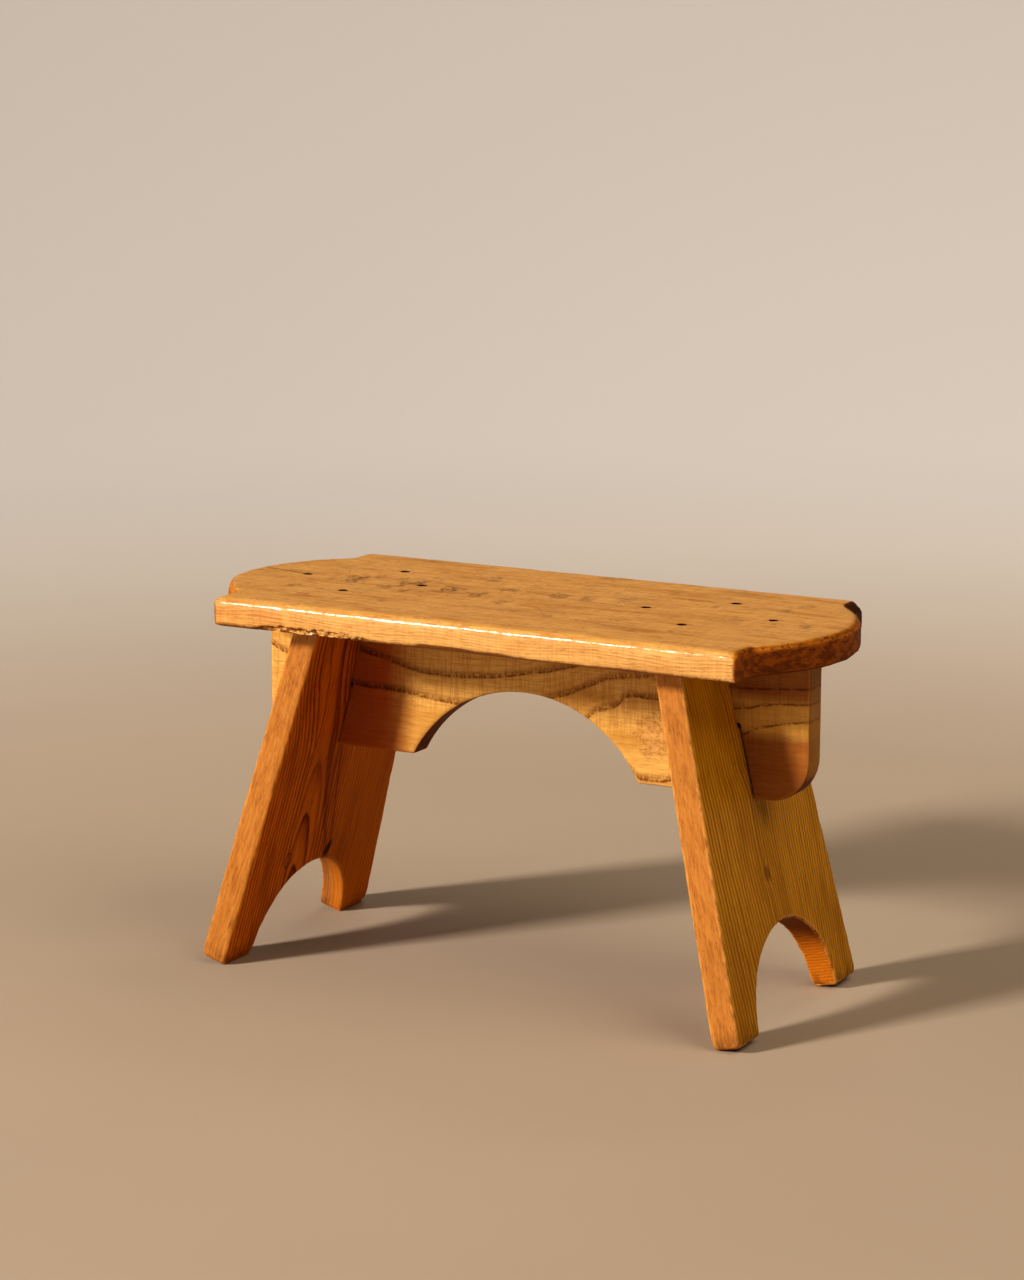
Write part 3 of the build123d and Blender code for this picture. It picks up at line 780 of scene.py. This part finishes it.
def rail_varnish():
    """Golden board: three broad dark growth lines, feathered on their upper sides, swing down and
    up again, and a fourth goes under a knot beside the right leg."""
    wood = Finish("rail_varnish", Coat_Roughness=0.18, Coat_IOR=1.5, Specular_IOR_Level=0.04)
    place = wood.place((-pi / 2, 0, 0), (0, 0, 0))
    along, _, into = wood.parts(place)
    where = wood.parts(wood.node("ShaderNodeTexCoord", output="Object"))
    height = where[2] / MM
    front = 1 - (where[1] / MM).ease(-2, 6)
    edge = wood.node("ShaderNodeAttribute", {"attribute_name": "edge"}, output="Fac")
    stain = wood.node("ShaderNodeAttribute", {"attribute_name": "stain"}, output="Fac")
    ends = end_grain(wood, (1, 0, 0))
    teeth = wood.stretched(place, (2.2, 4.0, 4.0), detail=3, rough=0.7)
    jag = wood.stretched(place, (9, 5, 5), detail=4, rough=0.7)
    past_leg = along.ease(150, 175)

    # The four dark growth lines, by the height of each along the rail: a feathered band on a
    # sharp line. Past the right leg the bands thin out.
    bold_lines = (
        ((-226, 245), (-138, 227.6), (-112, 221.8), (-76, 216.2), (-39, 217.9), (-12, 221.8), (32, 232),
         (60, 240), (226, 262)),
        ((-226, 230), (-203, 219), (-145, 201.6), (-113, 201.1), (-81, 197.8), (-51, 196.3), (18, 208.4),
         (52, 222), (72, 229), (103, 231.8), (162, 232), (226, 237)),
        ((-226, 140), (-60, 140), (30, 178), (48, 197), (56, 203), (72, 209), (82, 217), (103, 216.7),
         (164, 217.2), (189, 222.3), (226, 225.5)),
        ((-226, 150), (60, 158), (82, 163.4), (90, 158), (128, 164), (168, 198.4), (190, 207.7),
         (226, 214)))
    above = [height - wood.curve(along, spots) + 3.0 * (jag - 0.5) for spots in bold_lines]
    ink = 0
    for away in above:
        band = 0.75 * (1 - away.ease(0.6, 6.0)) * away.ease(-2.2, -0.4) * (1 - 0.75 * past_leg)
        band = band * (0.30 + 0.85 * (teeth + 0.02 * away).ease(0.38, 0.60))
        sharp_line = (0.45 + 0.5 * past_leg) * ((away + 0.4) / 0.9).hump() * jag.ease(0.35, 0.55)
        ink = (band + sharp_line).larger(ink)
    rings = above[1] / 5.2 + 0.03 * into + 40
    late, fibres, pores, blotches = wood_layers(wood, place, rings, sharp=2.5)

    # Grain, blotches and the planer's chatter.
    golden, brown = (0.69, 0.385, 0.105), (0.37, 0.140, 0.018)
    colour = wood.blend(0.35 * late, golden, brown)
    colour = wood.blend(0.45 * fibres.ease(0.42, 0.75), colour, (0.38, 0.145, 0.018))
    colour = wood.blend(0.50 * blotches.ease(0.42, 0.70), colour, (0.40, 0.155, 0.018))
    colour = wood.blend(0.4 * pores, colour, (0.22, 0.070, 0.008))
    planer = wood.stretched(place, (1.5, 26, 26), detail=1.5)
    chatter = planer.ease(0.46, 0.60) * height.ease(170, 205)
    colour = wood.blend(0.30 * chatter, colour, (0.30, 0.105, 0.012))

    # Past the right leg a band of painted light and painted shade on the rest of the front, the
    # left leg's painted shadow at the left, and painted shade under the seat at the top.
    # Painted light on a band past the right leg, and painted shade on the rest of the front there.
    past_leg_light = past_leg * (1 - ((height - 226) / 5).ease(-1.0, 1.0)) * ((height - 200) / 5).ease(-1.0, 1.0)
    past_leg_shade = 0.70 * front * (1 - past_leg_light) * past_leg * (1 - 0.75 * ends)
    colour = wood.blend(0.35 * past_leg_light, colour, (0.85, 0.460, 0.090))
    colour = wood.blend(past_leg_shade, colour, (0.22, 0.034, 0.001))
    # The left leg's painted shadow.
    colour = wood.blend(0.88 * stain, colour, (0.33, 0.040, 0.0010))
    colour = wood.blend(0.40 * height.ease(215, 250) * (1 - past_leg), colour, (0.36, 0.120, 0.010))
    # The dark lines are painted darker still in the painted shadow and shade.
    ink_colour = wood.blend(stain + past_leg_shade, (0.190, 0.060, 0.008), (0.085, 0.014, 0.0005))
    colour = wood.blend(0.86 * ink, colour, ink_colour)

    # The knot beside the right leg.
    curl = wood.stretched(place, (6, 5, 5), detail=4, rough=0.75, move=(3, 1, 0))
    away = (((along - 101) / 1.1) ** 2 + ((height - 188) / 1.25) ** 2) ** 0.5 + 24 * (curl - 0.5)
    swirl = ((away - 7.5) / 1.2).hump() + 0.7 * ((away - 11.5) / 0.9).hump()
    swirl = swirl + 0.8 * ((away - 3.5) / 1.1).hump()
    swirl = swirl * (0.20 + 1.0 * jag.ease(0.42, 0.56))
    colour = wood.blend(0.28 * (1 - away.ease(4, 14)), colour, (0.66, 0.370, 0.150))
    colour = wood.blend(0.62 * swirl, colour, (0.33, 0.092, 0.012))

    # Sawn ends, rubbed edges, and painted shade on the underside and in the hollows.
    colour = wood.blend(0.70 * ends, colour, (0.24, 0.095, 0.020))
    rubbed = edge.ease(0.15, 0.8)
    colour = wood.blend(0.40 * rubbed, colour, (0.66, 0.320, 0.065))
    facing = wood.parts(wood.node("ShaderNodeTexCoord", output="Normal"))
    # Painted shade on the underside and in the hollows.
    under = (1 - abs(facing[1]).ease(0.3, 0.8)) * (1 - abs(facing[0]).ease(0.85, 0.95))
    hollow_shade = (-edge).ease(0.05, 0.5)
    colour = wood.blend(0.92 * under + 0.7 * hollow_shade, colour, (0.13, 0.022, 0.001))

    roughness = 0.42 + 0.14 * fibres - 0.06 * late
    coat = (0.12 - 0.1 * blotches + 0.2 * rubbed) * (1 - 0.8 * under)
    relief = 0.35 * fibres - 0.9 * ink - 0.4 * pores - 0.9 * swirl + 0.2 * planer
    return wood.finish(colour, roughness, relief, 0.2, coat)


rail = worn_board(*smoothed_board("rail", cell=1.3, rounds=5), rail_wear)
rail.data.materials.append(rail_varnish())
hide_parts("rail")
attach(rail, "root")


# ------------------------------------------------------------------------------------------------
# Nails
# Eight wrought iron nails, driven through the seat and punched below it: four into the rail and
# two into each leg. Their heads are rusted and dark.


def nail_iron():
    """Dark hammered iron with patches of rust."""
    iron = Finish("old_nail_iron", Metallic=0.6, Specular_IOR_Level=0.3)
    place = iron.place((0, 0, 0), (0, 0, 0))
    rust = iron.stretched(place, (1.5, 1.5, 1.5), detail=5, rough=0.65)
    pits = iron.stretched(place, (0.5, 0.5, 0.5), detail=3)
    black, rusty = (0.020, 0.016, 0.014), (0.055, 0.020, 0.009)
    colour = iron.blend(rust.ease(0.45, 0.65), black, rusty)
    return iron.finish(colour, 0.5 + 0.35 * rust, rust + 0.5 * pits, 0.15)


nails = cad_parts["nails"]
nails.data.materials.clear()
nails.data.materials.append(nail_iron())


# ------------------------------------------------------------------------------------------------
# Studio
# A pale floor that curves up into a round backdrop, a warm soft key light low at the left and
# front, a weak fill from above, a wash on the backdrop, and the camera at a three-quarter view.

backdrop_flat = 2.2       # metres from the middle to where the floor starts to curve up
backdrop_bend = 3.2       # radius of the curve, in metres
backdrop_rise = pi / 3    # how far round the curve it goes
backdrop_steps = 16


def studio_floor():
    """A disc of pale floor whose rim curves up all round."""
    form = bmesh.new()
    points = [(0, 0), (backdrop_flat / 2, 0), (backdrop_flat, 0)]
    for step in range(1, backdrop_steps + 1):
        angle = backdrop_rise * step / backdrop_steps
        points.append((backdrop_flat + backdrop_bend * sin(angle), backdrop_bend * (1 - cos(angle))))
    profile = [form.verts.new((x, 0, z)) for x, z in points]
    edges = [form.edges.new(pair) for pair in zip(profile, profile[1:])]
    bmesh.ops.spin(form, geom=profile + edges, cent=(0, 0, 0), axis=(0, 0, 1), dvec=(0, 0, 0),
                   angle=2 * pi, steps=96, use_merge=True, use_duplicate=False)
    bmesh.ops.remove_doubles(form, verts=form.verts, dist=0.0001)
    bmesh.ops.recalc_face_normals(form, faces=form.faces)
    mesh = bpy.data.meshes.new("studio_floor")
    form.to_mesh(mesh)
    form.free()
    mesh.polygons.foreach_set("use_smooth", [True] * len(mesh.polygons))
    floor = bpy.data.objects.new("studio_floor", mesh)
    bpy.context.scene.collection.objects.link(floor)
    paint = Finish("pale_floor", Specular_IOR_Level=0.2)
    place = paint.place((0, 0, 0), (0, 0, 0))
    x, y, z = paint.parts(place)
    cloud = paint.stretched(place, (700, 700, 700), detail=3)
    floor_sand, floor_light = (0.40, 0.315, 0.235), (0.43, 0.335, 0.250)
    wall_pale, wall_grey = (0.72, 0.67, 0.62), (0.30, 0.27, 0.24)
    colour = paint.blend(cloud.ease(0.3, 0.7), floor_sand, floor_light)
    colour = paint.blend(((x * x + y * y) ** 0.5).ease(500, 2700), colour, wall_pale)
    colour = paint.blend(z.ease(800, 1500), colour, wall_grey)
    floor.data.materials.append(paint.finish(colour, 0.8, cloud, 0.01))


def soft_light(name, direction, distance, size, power, colour, aim=(0, 0, 0.15)):
    """A square area light that shines at the middle of the stool, or at another place."""
    lamp = bpy.data.lights.new(name, "AREA")
    lamp.shape = "SQUARE"
    lamp.size = size
    lamp.energy = power
    lamp.color = colour
    light = bpy.data.objects.new(name, lamp)
    bpy.context.scene.collection.objects.link(light)
    direction = Vector(direction).normalized()
    light.location = Vector(aim) + direction * distance
    light.rotation_euler = direction.to_track_quat("Z", "Y").to_euler()


studio_floor()
soft_light("key", (-0.490, -0.753, 0.438), distance=5.0, size=0.67, power=300,
           colour=(1.0, 0.94, 0.86))
soft_light("fill", (0.60, -0.12, 0.79), distance=2.4, size=1.7, power=25, colour=(1.0, 0.88, 0.70))
soft_light("wash", (0.56, -0.55, 0.62), distance=3.6, size=1.6, power=37, colour=(1.0, 0.94, 0.88),
           aim=(-1.9, 3.5, 0.1))

sky = bpy.data.worlds.new("studio")
bpy.context.scene.world = sky
sky.use_nodes = True
glow = sky.node_tree.nodes["Background"]
glow.inputs["Color"].default_value = (1.0, 0.74, 0.50, 1)
glow.inputs["Strength"].default_value = 0.03

lens = bpy.data.cameras.new("camera")
lens.lens = 90.0
lens.clip_start = 0.05
camera = bpy.data.objects.new("camera", lens)
bpy.context.scene.collection.objects.link(camera)
camera.location = (1.073, -1.963, 0.7008)
camera_dip, camera_turn = 0.2, 0.5068
camera.rotation_euler = (pi / 2 - camera_dip, 0, camera_turn)
bpy.context.scene.camera = camera
bpy.context.scene.view_settings.view_transform = "Standard"
bpy.context.scene.view_settings.look = "Medium High Contrast"
